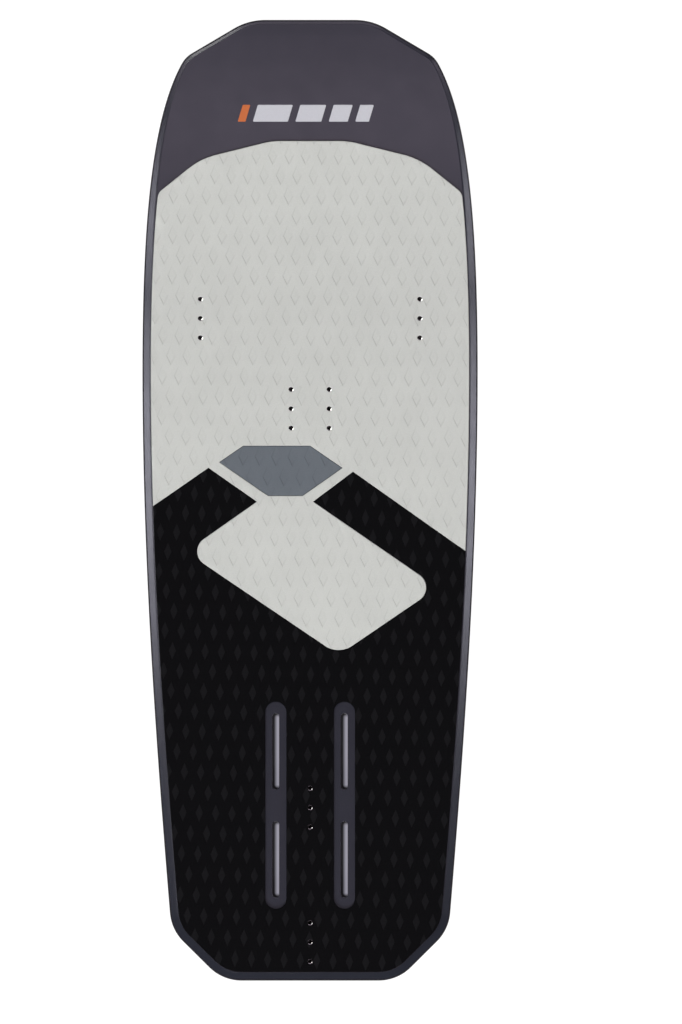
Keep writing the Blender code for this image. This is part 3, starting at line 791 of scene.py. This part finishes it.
class Emboss:
    """Staggered rows of pressed diamonds, each with a floor that slopes evenly from tip to tip.

    The lattice has one diamond's middle, its pitches across and along, its turn in degrees, the
    rows' own step sideways, and how much closer the rows get with every row. The ground between
    the diamonds swells up towards each lower tip."""

    def __init__(self, middle, pitches, turn, lean, bend, half_sizes, depths, slopes, swell, marked):
        self.middle = np.array(middle)
        self.pitch_across, self.pitch_along = pitches
        turn = math.radians(turn)
        self.across = np.array([math.cos(turn), -math.sin(turn)])
        self.along = np.array([math.sin(turn), math.cos(turn)])
        self.lean, self.bend = lean, bend
        self.half_width, self.half_height = half_sizes
        self.top_depth, tip_depth = depths
        self.slopes = slopes
        self.swell, self.marked = swell, marked
        side = math.hypot(*half_sizes)
        self.wall_across, self.wall_along = self.half_height / side, self.half_width / side
        self.reach = self.half_width * self.wall_across
        self.fall = (tip_depth - self.top_depth) / (2 * self.half_height)

    def rhombus(self, offset):
        """A diamond about its own middle, grown outwards by an offset; top, right, bottom, left."""
        grow = 1 + offset / self.reach
        across, along = self.half_width * grow, self.half_height * grow
        return [(0, along), (across, 0), (0, -along), (-across, 0)]

    def pit_floor(self):
        """The outline of a pit's floor, where its four walls meet it; top, right, bottom, left."""
        level = self.top_depth + self.fall * self.half_height
        rows, targets = [], []
        for slope, side in zip(self.slopes, (1, -1)):
            rows.append((slope * self.wall_across, side * slope * self.wall_along - self.fall))
            targets.append(slope * self.reach - level)
        x, y = np.linalg.solve(rows, targets)
        top, bottom = (target / row[1] for row, target in zip(rows, targets))
        return [(0, top), (float(x), float(y)), (0, bottom), (float(-x), float(y))]

    def row_start(self, row):
        """Where a row of diamonds starts, across and along the lattice."""
        across = row % 2 / 2 * self.pitch_across + row * self.lean
        return across, row * self.pitch_along + row**2 * self.bend

    def middles(self, low, high):
        """The middles of the diamonds that can reach a box."""
        reach = 2 * self.half_height
        rows = math.ceil(2 * max(abs(low[1]), abs(high[1]), 0.5) / self.pitch_along) + 2
        columns = math.ceil(2 * max(abs(low[0]), abs(high[0])) / self.pitch_across) + 2
        for row in range(-rows, rows + 1):
            start, up = self.row_start(row)
            for column in range(-columns, columns + 1):
                middle = self.middle + self.across * (start + column * self.pitch_across) + self.along * up
                if np.all(middle > np.array(low) - reach) and np.all(middle < np.array(high) + reach):
                    yield middle

    def sink(self, points):
        """How deep the emboss is at each point, and which points are on its marked surfaces."""
        local = points - self.middle
        across_place, along_place = local @ self.across, local @ self.along
        depth = np.full(len(points), self.swell / 2)
        marked = np.zeros(len(points), bool)
        nearest = np.round(along_place / self.pitch_along)
        for neighbour in (-1, 0, 1):
            start, up = self.row_start(nearest + neighbour)
            v = along_place - up
            u = across_place - start
            u = np.abs(u - np.round(u / self.pitch_across) * self.pitch_across)
            upper = self.reach - u * self.wall_across - v * self.wall_along
            lower = self.reach - u * self.wall_across + v * self.wall_along
            into = np.minimum(upper, lower)
            rim = np.clip((into + RIM_WIDTH) / RIM_WIDTH, 0, 1) * RIM_DEPTH
            wall = np.minimum(upper.clip(0) * self.slopes[0], lower.clip(0) * self.slopes[1])
            floor = self.top_depth + self.fall * (self.half_height - v)
            ground = self.swell * (v + self.half_height) / (2 * self.half_height)
            here = into > -RIM_WIDTH - RIM_SLACK
            depth = np.where(here, ground + rim + np.minimum(wall, floor), depth)
            on_floor = wall >= floor
            marked |= (into > 0) & (on_floor if self.marked == "floor" else ~on_floor)
        return depth, marked

    def outlines(self, outline):
        """The diamonds' outer rims, rims and pit floors, wherever they touch a pad's outline."""
        low = [min(point[axis] for point in outline) for axis in (0, 1)]
        high = [max(point[axis] for point in outline) for axis in (0, 1)]
        loops = []
        for middle in self.middles(low, high):
            placed = []
            for shape in (self.rhombus(RIM_WIDTH), self.rhombus(0), self.pit_floor()):
                placed.append([tuple(middle + self.across * u + self.along * v) for u, v in shape])
            if inside(np.array(placed[0]), outline).any():
                loops += placed
        return loops


FRONT_EMBOSS = Emboss(
    middle=(-0.0025, 0.0049),
    pitches=(21.56 * MM, 26.37 * MM),
    turn=0.38,
    lean=0.26 * MM,
    bend=0.0,
    half_sizes=(6.3 * MM, 13.5 * MM),
    depths=(0.06 * MM, 0.60 * MM),
    slopes=(0.18, 0.42),
    swell=0.9 * MM,
    marked="walls",
)
REAR_EMBOSS = Emboss(
    middle=(-0.0051, -0.3871),
    pitches=(21.46 * MM, 26.73 * MM),
    turn=1.60,
    lean=0.21 * MM,
    bend=-0.041 * MM,
    half_sizes=(5.2 * MM, 12.3 * MM),
    depths=(0.5 * MM, 0.5 * MM),
    slopes=(2.0, 2.0),
    swell=0.2 * MM,
    marked="floor",
)


def constrained(loops, chains=()):
    """A Delaunay triangulation that keeps every loop and chain as edges: its points, its faces,
    the given points that each point stands for, and the given edges that each edge is part of."""
    vertices, edges = [], []
    for points, closed in [(loop, True) for loop in loops] + [(chain, False) for chain in chains]:
        base, count = len(vertices), len(points)
        vertices += [Vector(point) for point in points]
        last = count if closed else count - 1
        edges += [(base + index, base + (index + 1) % count) for index in range(last)]
    found = delaunay_2d_cdt(vertices, edges, [], 0, 1e-6, True)
    edge_origins = {frozenset(edge): origins for edge, origins in zip(found[1], found[4])}
    return np.array([tuple(point) for point in found[0]]), found[2], found[3], edge_origins


def face_middles(points, faces):
    return np.array([points[list(face)].mean(axis=0) for face in faces])


def face_edges(face):
    return list(zip(face, face[1:] + face[:1]))


def regions(faces, edge_origins, border_count):
    """Groups of faces with none of the first given edges, the borders, between them."""
    beside = {}
    for number, face in enumerate(faces):
        for edge in face_edges(face):
            beside.setdefault(frozenset(edge), []).append(number)
    borders = {edge for edge, old in edge_origins.items() if old and min(old) < border_count}
    left = set(range(len(faces)))
    while left:
        reached = [left.pop()]
        for number in reached:
            for edge in face_edges(faces[number]):
                if frozenset(edge) not in borders:
                    found = [other for other in beside[frozenset(edge)] if other in left]
                    left.difference_update(found)
                    reached += found
        yield reached


def kept_faces(points, faces, edge_origins, loops, outline, holes):
    """The faces in the shape, a region between the loops at a time, by its largest face.

    A region with next to no area is a sliver outside a straight edge, left by rounding."""
    corners = np.array([points[list(face)] for face in faces])
    first, second = corners[:, 1] - corners[:, 0], corners[:, 2] - corners[:, 0]
    areas = np.abs(first[:, 0] * second[:, 1] - first[:, 1] * second[:, 0]) / 2
    chosen = inside_shape(face_middles(points, faces), outline, holes)
    kept = []
    for region in regions(faces, edge_origins, sum(len(loop) for loop in loops)):
        largest = max(region, key=lambda number: areas[number])
        if chosen[largest] and areas[largest] > SLIVER_AREA:
            kept += [faces[number] for number in sorted(region)]
    return kept


def border_loops(faces):
    """The loops of edges that only one face uses, each in its face's own direction."""
    used = {}
    for face in faces:
        for edge in face_edges(face):
            used[edge] = True
    follow = {a: b for a, b in used if (b, a) not in used}
    loops = []
    while follow:
        start, here = follow.popitem()
        loop = [start]
        while here != start:
            loop.append(here)
            here = follow.pop(here)
        loops.append(loop)
    return loops


def make_pad(name, outline, holes, emboss, slot, node, materials):
    """One EVA pad: an embossed face with rolled edges, cut walls and a flat back on the deck."""
    outline = even_inset(outline, PAD_SEAM / 2)
    holes = [hole[::-1] for hole in holes]
    loops = [outline, *holes]
    rolls = [even_inset(loop, distance) for loop in loops for distance, _ in PAD_EDGE[1:]]
    points, faces, _, edge_origins = constrained([*loops, *rolls, *emboss.outlines(outline)])
    faces = kept_faces(points, faces, edge_origins, loops, outline, holes)
    depth, _ = emboss.sink(points)
    distances, drops = zip(*PAD_EDGE)
    depth = depth + np.interp(edge_distance(points, loops), distances, drops)
    top = [(x, y, deck_height(y) + GAP + PAD_THICKNESS - fall) for (x, y), fall in zip(points, depth)]
    used = sorted({corner for face in faces for corner in face})
    renumber = {old: new for new, old in enumerate(used)}
    vertices = [top[old] for old in used]
    faces = [tuple(renumber[corner] for corner in face) for face in faces]
    # Marked faces take the pad's second finish: painted shade on the walls of the light pads, a painted sheen
    # on the floors of the black pad
    marked = emboss.sink(face_middles(points[used], faces))[1]
    borders = border_loops([list(face) for face in faces])
    wall_base = {}
    for loop in borders:
        for corner in loop:
            x, y, _ = vertices[corner]
            wall_base[corner] = len(vertices)
            vertices.append((x, y, deck_height(y) + GAP))
    for loop in borders:
        for a, b in zip(loop, loop[1:] + loop[:1]):
            faces.append((b, a, wall_base[a], wall_base[b]))
    faces += back_faces(vertices, borders, wall_base, outline, holes)
    mesh = close_mesh(name, vertices, faces)
    material = np.pad(marked.astype(np.int32), (0, len(faces) - len(marked)))
    mesh.polygons.foreach_set("material_index", material)
    pad = add_object(name, mesh)
    shade_pad(pad, loops)
    place(pad, slot, [node], *materials)


def sharp_edges(mesh, angle):
    mesh.set_sharp_from_angle(angle=angle)
    found = np.zeros(len(mesh.edges), bool)
    mesh.attributes["sharp_edge"].data.foreach_get("value", found)
    return found


def shade_pad(pad, loops):
    """Smooth rolled edges along the pad's outline, and crisp facets on its diamonds."""
    mesh = pad.data
    mesh.shade_smooth()
    spots = np.array([vertex.co[:2] for vertex in mesh.vertices])
    rolled = edge_distance(spots, loops) < PAD_EDGE[-1][0] + ROLL_SLACK
    ends = np.array([edge.vertices[:] for edge in mesh.edges])
    on_roll = rolled[ends].all(axis=1)
    sharp = np.where(on_roll, sharp_edges(mesh, ROLL_SMOOTH_ANGLE), sharp_edges(mesh, FACET_ANGLE))
    mesh.attributes["sharp_edge"].data.foreach_set("value", sharp)


def back_faces(vertices, borders, wall_base, outline, holes):
    """The pad's back between the feet of its walls, with rungs where the deck rises."""
    loops = [[vertices[corner][:2] for corner in loop] for loop in borders]
    feet = [wall_base[corner] for loop in borders for corner in loop]
    rungs = []
    y = DECK_RISE_START_Y
    while y < max(point[1] for point in outline) - BACKING_MARGIN:
        reach = [abs(x) for x, at in outline if abs(at - y) < BACKING_RUNG]
        if reach:
            rungs.append([(x, y) for x in np.linspace(-min(reach), min(reach), RUNG_SPANS + 1)[1:-1]])
        y += BACKING_RUNG
    points, faces, origins, edge_origins = constrained(loops, rungs)
    faces = kept_faces(points, faces, edge_origins, loops, outline, holes)
    number = {}
    for corner in {corner for face in faces for corner in face}:
        border = [old for old in origins[corner] if old < len(feet)]
        if border:
            number[corner] = feet[border[0]]
        else:
            number[corner] = len(vertices)
            x, y = points[corner]
            vertices.append((x, y, deck_height(y) + GAP))
    return [tuple(number[corner] for corner in reversed(face)) for face in faces]


def make_pads(finishes):
    holes = {row: [] for row in INSERT_ROWS}
    for name, spot in BUSH_CENTRES.items():
        holes[name[5:-2]].append(circle(spot.x, spot.y, PAD_HOLE_RADIUS))
    front_holes = [hole for row in FRONT_ROWS for hole in holes[row]]
    rear_holes = [hole for row in TAIL_ROWS for hole in holes[row]]
    cutouts = [stadium(middle.x, middle.y, CUTOUT_WIDTH, CUTOUT_LENGTH) for middle in LAND_CENTRES]
    accent = rounded_loop(ACCENT_CORNERS)
    recess = even_inset(accent, -PAD_SEAM / 2)
    pads = [
        ("front", front_pad_outline(), [*front_holes, recess], FRONT_EMBOSS, "light_eva"),
        ("accent", accent, [], FRONT_EMBOSS, "accent_eva"),
        ("rear", rear_pad_outline(), [*rear_holes, *cutouts], REAR_EMBOSS, "black_eva"),
    ]
    for name, outline, openings, emboss, slot in pads:
        make_pad(f"pad_{name}", outline, openings, emboss, slot, f"deck_pad_{name}", finishes[slot])


# Painted stripes


def make_stripes(white, orange):
    """A plain row of slanted bars across the nose, in a thin coat of paint."""
    total = sum(STRIPE_WIDTHS) + STRIPE_GAP * (len(STRIPE_WIDTHS) - 1)
    x = STRIPE_CENTRE[0] - total / 2
    low, high = STRIPE_CENTRE[1] - STRIPE_HEIGHT / 2, STRIPE_CENTRE[1] + STRIPE_HEIGHT / 2
    lean = STRIPE_SLANT * STRIPE_HEIGHT / 2
    for number, width in enumerate(STRIPE_WIDTHS, start=1):
        corners = [(x + lean, high), (x + width + lean, high), (x + width - lean, low), (x - lean, low)]
        outline = rounded_loop([(*corner, STRIPE_CORNER) for corner in corners])
        top = even_inset(outline, STRIPE_THICKNESS / 2)
        levels = [(outline, 0), (outline, 0.7 * STRIPE_THICKNESS), (top, STRIPE_THICKNESS)]
        rings = [[(px, py, deck_height(py) + STRIPE_LIFT + z) for px, py in ring] for ring, z in levels]
        vertices, faces = join_rings(rings)
        count = len(outline)
        faces.append(tuple(range(count)))
        faces.append(tuple(range(2 * count, 3 * count)))
        stripe = add_object(f"stripe_{number}", close_mesh(f"stripe_{number}", vertices, faces))
        shade(stripe)
        place(stripe, "deck_paint", [], orange if number == 1 else white)
        x += width + STRIPE_GAP


# Materials


def put(tree, kind, inputs=None, **settings):
    """A new node with its settings; an input takes a number, a colour or another node's output."""
    made = tree.nodes.new(kind)
    for key, value in settings.items():
        setattr(made, key, value)
    for key, value in (inputs or {}).items():
        if isinstance(value, bpy.types.NodeSocket):
            tree.links.new(value, made.inputs[key])
        else:
            made.inputs[key].default_value = value
    return made


class Finish:
    """A material in the making: its shader, and the nodes that feed it.

    Values that are the same all over go straight on the shader, as keywords. Patterns follow the
    object's own coordinates, in metres."""

    def __init__(self, name, **fixed):
        self.material = bpy.data.materials.new(name)
        self.material.use_nodes = True
        self.tree = self.material.node_tree
        self.shader = self.tree.nodes["Principled BSDF"]
        for key, value in fixed.items():
            self.shader.inputs[key.replace("_", " ")].default_value = value
        self.place = put(self.tree, "ShaderNodeTexCoord").outputs["Object"]

    def feed(self, name, output):
        self.tree.links.new(output, self.shader.inputs[name])

    def noise(self, scale, detail=3.0, roughness=0.55):
        """Smooth noise from 0 to 1, with its features about 1/scale metres across."""
        inputs = {"Vector": self.place, "Scale": scale, "Detail": detail, "Roughness": roughness}
        return put(self.tree, "ShaderNodeTexNoise", inputs).outputs["Fac"]

    def cells(self, scale):
        """Distance to the nearest of scattered points, about 1/scale metres apart."""
        inputs = {"Vector": self.place, "Scale": scale}
        return put(self.tree, "ShaderNodeTexVoronoi", inputs).outputs["Distance"]

    def spread(self, value, low, high, start=0.3, end=0.7):
        """A value between start and end, spread over low to high."""
        inputs = {"Value": value, "From Min": start, "From Max": end, "To Min": low, "To Max": high}
        return put(self.tree, "ShaderNodeMapRange", inputs).outputs["Result"]

    def maths(self, operation, first, second=0.0):
        return put(self.tree, "ShaderNodeMath", {0: first, 1: second}, operation=operation).outputs[0]

    def times(self, first, second):
        return self.maths("MULTIPLY", first, second)

    def plus(self, first, second):
        return self.maths("ADD", first, second)

    def vectors(self, operation, first, second):
        inputs = {0: first, 1: second}
        return put(self.tree, "ShaderNodeVectorMath", inputs, operation=operation).outputs[0]

    def distance(self, vector):
        made = put(self.tree, "ShaderNodeVectorMath", {0: vector}, operation="LENGTH")
        return made.outputs["Value"]

    def tinted(self, colour, value):
        """A colour whose brightness is multiplied by a value."""
        inputs = {0: colour, "Scale": value}
        return put(self.tree, "ShaderNodeVectorMath", inputs, operation="SCALE").outputs[0]

    def colour(self, colour, brightness):
        self.feed("Base Color", self.tinted(colour, brightness))

    def matt(self, noise, low, high, start=0.3, end=0.7):
        """Roughness that wanders between two values."""
        self.feed("Roughness", self.spread(noise, low, high, start, end))

    def relief(self, height, distance, strength=1.0):
        """Bump, its full height a distance in metres."""
        inputs = {"Height": height, "Distance": distance, "Strength": strength}
        self.feed("Normal", put(self.tree, "ShaderNodeBump", inputs).outputs["Normal"])


def satin_paint(name, colour):
    """Satin paint: soft clouding, fine flake, a little orange peel and uneven gloss."""
    paint = Finish(name, Specular_IOR_Level=0.5)
    clouds = paint.spread(paint.noise(14, 4), 0.95, 1.05)
    flake = paint.spread(paint.noise(2600, 1), 0.90, 1.10)
    paint.colour(colour, paint.times(clouds, flake))
    paint.matt(paint.noise(45, 4), 0.22, 0.28, 0.1, 0.9)
    paint.relief(paint.noise(420, 2), 0.03 * MM, 0.5)
    return paint.material


def dark_laminate():
    """Near-black lacquer over a twill of fibre tows, with faint scuffs."""
    lacquer = Finish("dark_laminate", Specular_IOR_Level=0.5)
    tows = []
    for turn in (45, -45):
        inputs = {"Vector": lacquer.place, "Rotation": (0, 0, math.radians(turn))}
        turned = put(lacquer.tree, "ShaderNodeMapping", inputs).outputs["Vector"]
        inputs = {"Vector": turned, "Scale": 155, "Distortion": 0.6, "Detail": 1.0}
        tows.append(put(lacquer.tree, "ShaderNodeTexWave", inputs).outputs["Fac"])
    weave = lacquer.times(*tows)
    scuffs = lacquer.spread(lacquer.noise(90, 6, 0.7), 0, 0.004, 0.60, 0.75)
    lacquer.colour((1.0, 0.98, 1.08), lacquer.plus(lacquer.spread(weave, 0.009, 0.017, 0, 1), scuffs))
    lacquer.matt(lacquer.noise(60, 4), 0.28, 0.38)
    lacquer.relief(weave, 0.03 * MM, 0.35)
    return lacquer.material


def eva_foam(name, colour, grain_depth, roughness, gloss):
    """Closed-cell foam: soft clouding, fine cells and small open pores."""
    foam = Finish(name, Specular_IOR_Level=gloss)
    clouds = foam.spread(foam.noise(22, 4), 0.975, 1.025)
    skin = foam.spread(foam.noise(900, 3), 1 - grain_depth, 1 + grain_depth)
    pores = foam.spread(foam.cells(1500), 1 - 2 * grain_depth, 1, 0.05, 0.30)
    foam.colour(colour, foam.times(clouds, foam.times(skin, pores)))
    foam.matt(foam.noise(700, 3), roughness - 0.06, roughness + 0.06)
    foam.relief(foam.plus(foam.noise(1100, 4), foam.times(pores, 0.6)), 0.10 * MM, 0.55)
    return foam.material


def slot_plastic():
    """Moulded grey plastic with a fine spark-eroded texture."""
    plastic = Finish("liner_plastic", Specular_IOR_Level=0.5)
    plastic.colour(LINER_COLOUR, plastic.spread(plastic.noise(120, 3), 0.94, 1.04))
    plastic.matt(plastic.noise(500, 3), 0.34, 0.50)
    plastic.relief(plastic.noise(1800, 2), 0.02 * MM, 0.6)
    return plastic.material


def bush_metal(name, colour):
    """Machined stainless steel with turning marks."""
    metal = Finish(name, Metallic=1.0)
    inputs = {"Vector": metal.place, "Scale": 2200, "Distortion": 1.5, "Detail": 2.0}
    rings = {"wave_type": "RINGS", "rings_direction": "Z"}
    marks = put(metal.tree, "ShaderNodeTexWave", inputs, **rings).outputs["Fac"]
    metal.colour(colour, metal.spread(marks, 0.85, 1.05, 0, 1))
    metal.matt(metal.noise(800, 3), 0.08, 0.13)
    metal.relief(marks, 0.01 * MM, 0.12)
    return metal.material


def core_foam(name, colour, bead_scale):
    """Bead foam: rounded beads pressed together."""
    foam = Finish(name, Specular_IOR_Level=0.3)
    beads = foam.cells(bead_scale)
    foam.colour(colour, foam.spread(beads, 1.05, 0.80, 0.1, 0.6))
    foam.matt(foam.noise(300), 0.80, 0.95)
    foam.relief(beads, -0.4 * MM, 0.8)
    return foam.material


def stripe_paint(name, colour):
    """Printed ink: nearly even, with a dry edge to its gloss."""
    ink = Finish(name, Specular_IOR_Level=0.5)
    ink.colour(colour, ink.spread(ink.noise(700, 4), 0.94, 1.02))
    ink.matt(ink.noise(160, 3), 0.38, 0.52)
    ink.relief(ink.noise(900, 2), 0.01 * MM, 0.5)
    return ink.material


def finish_cores():
    """Procedural foam on the sealed CAD solids, which keep their shapes."""
    light = core_foam("core_foam", (0.78, 0.74, 0.62), 260)
    dense = core_foam("dense_foam", (0.32, 0.36, 0.30), 700)
    for name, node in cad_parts.items():
        if name == "foam_core":
            node.data.materials[0] = light
        elif name == "mast_block" or name.startswith("insert_block"):
            node.data.materials[0] = dense


# Studio


def painted_slot_light(paper, middle):
    """Painted light and shade in the glow of the paper under the mast slots: a painted lit strip along one
    side of each slot, painted shade elsewhere.
    """
    apart = SLOT_CENTRES["right_front"] - SLOT_CENTRES["left_rear"]
    axes = put(paper.tree, "ShaderNodeSeparateXYZ", {"Vector": paper.place}).outputs
    column = paper.times(paper.maths("SIGN", axes["X"]), apart.x / 2)
    across = paper.maths("SUBTRACT", axes["X"], column)
    from_middle = paper.maths("ABSOLUTE", paper.plus(axes["Y"], -middle.y))
    from_slot = paper.maths("ABSOLUTE", paper.plus(from_middle, -apart.y / 2))
    half_light = (SLOT_LENGTH - SLOT_CLEAR_WIDTH) / 2 - SLOT_LIGHT_SHORT
    past_end = paper.maths("MAXIMUM", paper.plus(from_slot, -half_light))
    offset = {"X": paper.plus(across, -SLOT_LIGHT_SHIFT), "Y": past_end}
    away = put(paper.tree, "ShaderNodeCombineXYZ", offset).outputs["Vector"]
    reach = paper.distance(away)
    return paper.tinted(SLOT_GLOW, paper.spread(reach, 1.0, SLOT_SHADE, SLOT_LIGHT_CORE, SLOT_LIGHT_EDGE))


def floor_glow(paper):
    """An even white glow outside the ellipse of paper that lies under the mast slots, and painted light and
    shade inside it.
    """
    middle = sum(LAND_CENTRES, Vector()) / len(LAND_CENTRES)
    stretch = (1 / SLOT_SHADE_REACH[0], 1 / SLOT_SHADE_REACH[1], 0)
    away = paper.vectors("MULTIPLY", paper.vectors("SUBTRACT", paper.place, middle), stretch)
    reach = paper.distance(away)
    outside = paper.spread(reach, 0.0, FLOOR_GLOW, 1.0, SLOT_SHADE_FADE)
    inside = paper.spread(reach, 1.0, 0.0, 1.0, SLOT_SHADE_FADE)
    painted_light_and_shade = paper.tinted(painted_slot_light(paper, middle), inside)
    white = paper.tinted((1.0, 1.0, 1.0), outside)
    return paper.vectors("ADD", painted_light_and_shade, white)


def make_floor():
    """A large pale floor just under the board."""
    half = FLOOR_SIZE / 2
    corners = [(-half, -half), (half, -half), (half, half), (-half, half)]
    mesh = bpy.data.meshes.new("floor")
    mesh.from_pydata([(x, y, -FLOOR_DROP) for x, y in corners], [], [(0, 1, 2, 3)])
    paper = Finish("floor", Roughness=0.9, Specular_IOR_Level=0.0, Emission_Strength=1.0)
    paper.colour(FLOOR_COLOUR, paper.spread(paper.noise(3, 3), 0.995, 1.0))
    paper.feed("Emission Color", floor_glow(paper))
    mesh.materials.append(paper.material)
    add_object("floor", mesh)


def softbox(name, spot, aim, width, length, radiance, colour):
    """A rectangular light that the camera doesn't see, its face radiance worked out from its power."""
    data = bpy.data.lights.new(name, "AREA")
    data.shape = "RECTANGLE"
    data.size, data.size_y = width, length
    data.energy = radiance * math.pi * width * length
    data.color = colour
    light = bpy.data.objects.new(name, data)
    light.location = spot
    light.rotation_euler = (Vector(aim) - Vector(spot)).to_track_quat("-Z", "Y").to_euler()
    light.visible_camera = False
    light.visible_glossy = name not in MATT_LIGHTS
    bpy.context.scene.collection.objects.link(light)


def make_world():
    """An even pale room whose light fades towards the ceiling."""
    world = bpy.data.worlds.new("studio")
    bpy.context.scene.world = world
    world.use_nodes = True
    tree = world.node_tree
    direction = put(tree, "ShaderNodeTexCoord").outputs["Generated"]
    height = put(tree, "ShaderNodeSeparateXYZ", {"Vector": direction}).outputs["Z"]
    heights = {"Value": height, "From Min": ROOM_TOP, "From Max": CEILING_START}
    levels = {"To Min": ROOM_LEVEL, "To Max": CEILING_LEVEL}
    level = put(tree, "ShaderNodeMapRange", heights | levels).outputs["Result"]
    tree.links.new(level, tree.nodes["Background"].inputs["Strength"])
    tree.nodes["Background"].inputs["Color"].default_value = (1, 1, 1, 1)


def make_camera():
    """Straight above the board, far enough away to look flat, nose up."""
    data = bpy.data.cameras.new("camera")
    data.sensor_width = SENSOR_WIDTH
    data.lens = SENSOR_WIDTH * CAMERA_ABOVE_DECK / SEEN_HEIGHT
    data.clip_end = 200
    camera = bpy.data.objects.new("camera", data)
    camera.location = CAMERA_PLACE
    bpy.context.scene.collection.objects.link(camera)
    bpy.context.scene.camera = camera


def make_studio():
    make_camera()
    make_world()
    make_floor()
    for box in SOFTBOXES:
        softbox(*box)
    bpy.context.scene.view_settings.view_transform = "Standard"


def main():
    make_studio()
    # Each pad's second finish goes on its marked faces: a darker copy with painted shade, or on the black pad
    # a lighter copy with a painted sheen
    finishes = {
        "light_eva": (
            eva_foam("light_eva", LIGHT_EVA, grain_depth=0.05, roughness=0.86, gloss=0.18),
            eva_foam("light_eva_pressed_painted_shade", LIGHT_EVA_PAINTED_SHADE, grain_depth=0.03, roughness=0.70, gloss=0.18),
        ),
        "accent_eva": (
            eva_foam("accent_eva", ACCENT_EVA, grain_depth=0.05, roughness=0.86, gloss=0.18),
            eva_foam("accent_eva_pressed_painted_shade", ACCENT_EVA_PAINTED_SHADE, grain_depth=0.03, roughness=0.70, gloss=0.18),
        ),
        "black_eva": (
            eva_foam("black_eva", BLACK_EVA, grain_depth=0.15, roughness=0.88, gloss=0.05),
            eva_foam("black_eva_pressed_painted_sheen", BLACK_EVA_PAINTED_SHEEN, grain_depth=0.10, roughness=0.66, gloss=0.05),
        ),
    }
    make_hull(dark_laminate())
    make_deck(satin_paint("deck_paint", DECK_COLOUR))
    plastic = slot_plastic()
    for name in SLOT_NAMES:
        make_liner(name, plastic)
    make_bushes(bush_metal("bush_metal", METAL_COLOUR), bush_metal("metal_painted_shade", METAL_PAINTED_SHADE_COLOUR))
    make_pads(finishes)
    make_stripes(stripe_paint("white_ink", WHITE_INK), stripe_paint("orange_ink", ORANGE_INK))
    finish_cores()


main()
